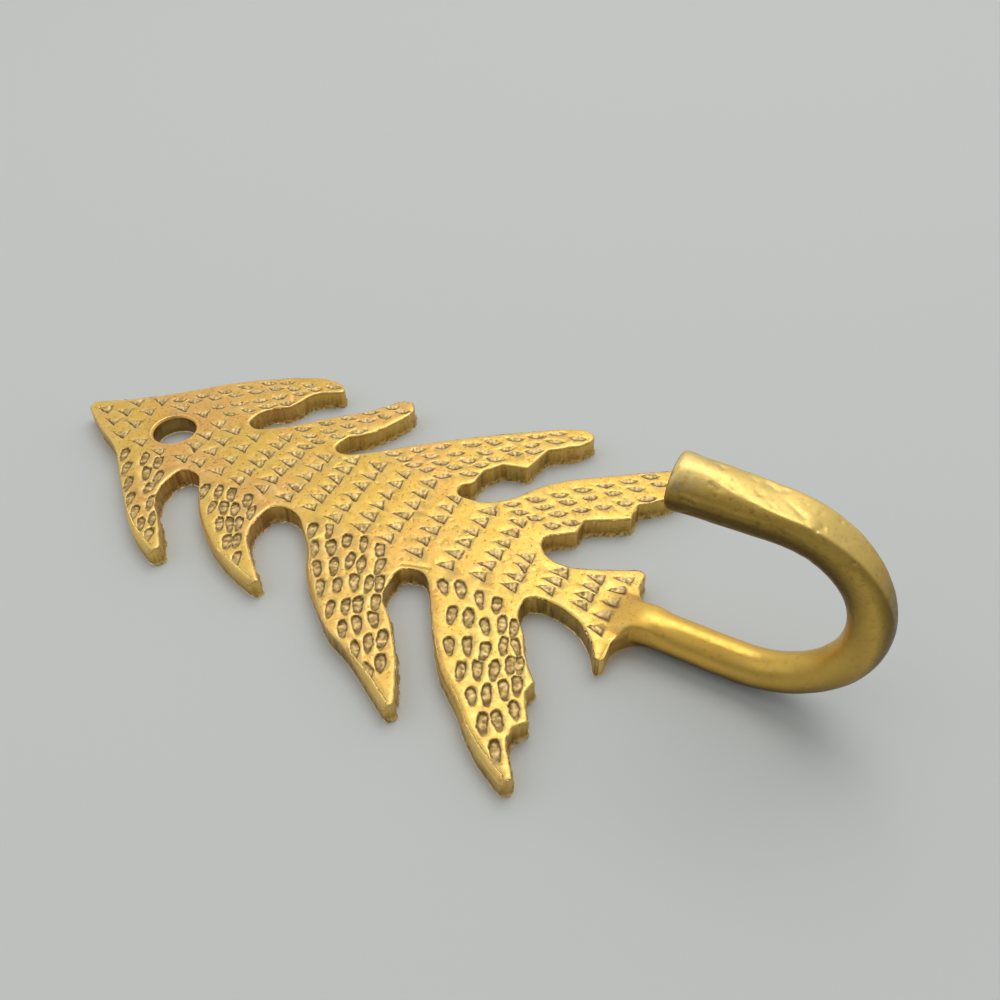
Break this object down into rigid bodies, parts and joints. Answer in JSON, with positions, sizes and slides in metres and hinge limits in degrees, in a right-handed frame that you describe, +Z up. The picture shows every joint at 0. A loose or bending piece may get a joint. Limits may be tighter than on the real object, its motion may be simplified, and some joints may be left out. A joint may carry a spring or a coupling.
{
  "type": "wall hook",
  "caption": "Cast brass wall hook shaped as a pine tree: a flat punched plate with a screw hole, its trunk running on as a round bar that curls forward and up.",
  "frame": {"origin": "middle of the screw hole, on the back face", "axes": "+Z up the tree as it hangs, +X to the right seen from the front, +Y out of the back face into the wall"},
  "size_m": [0.0594, 0.0312, 0.123],
  "materials": {
    "brass": "satin cast brass with brown patina in the punch marks"
  },
  "bodies": {
    "root": {"tree_hook": "brass"}
  },
  "joints": []
}
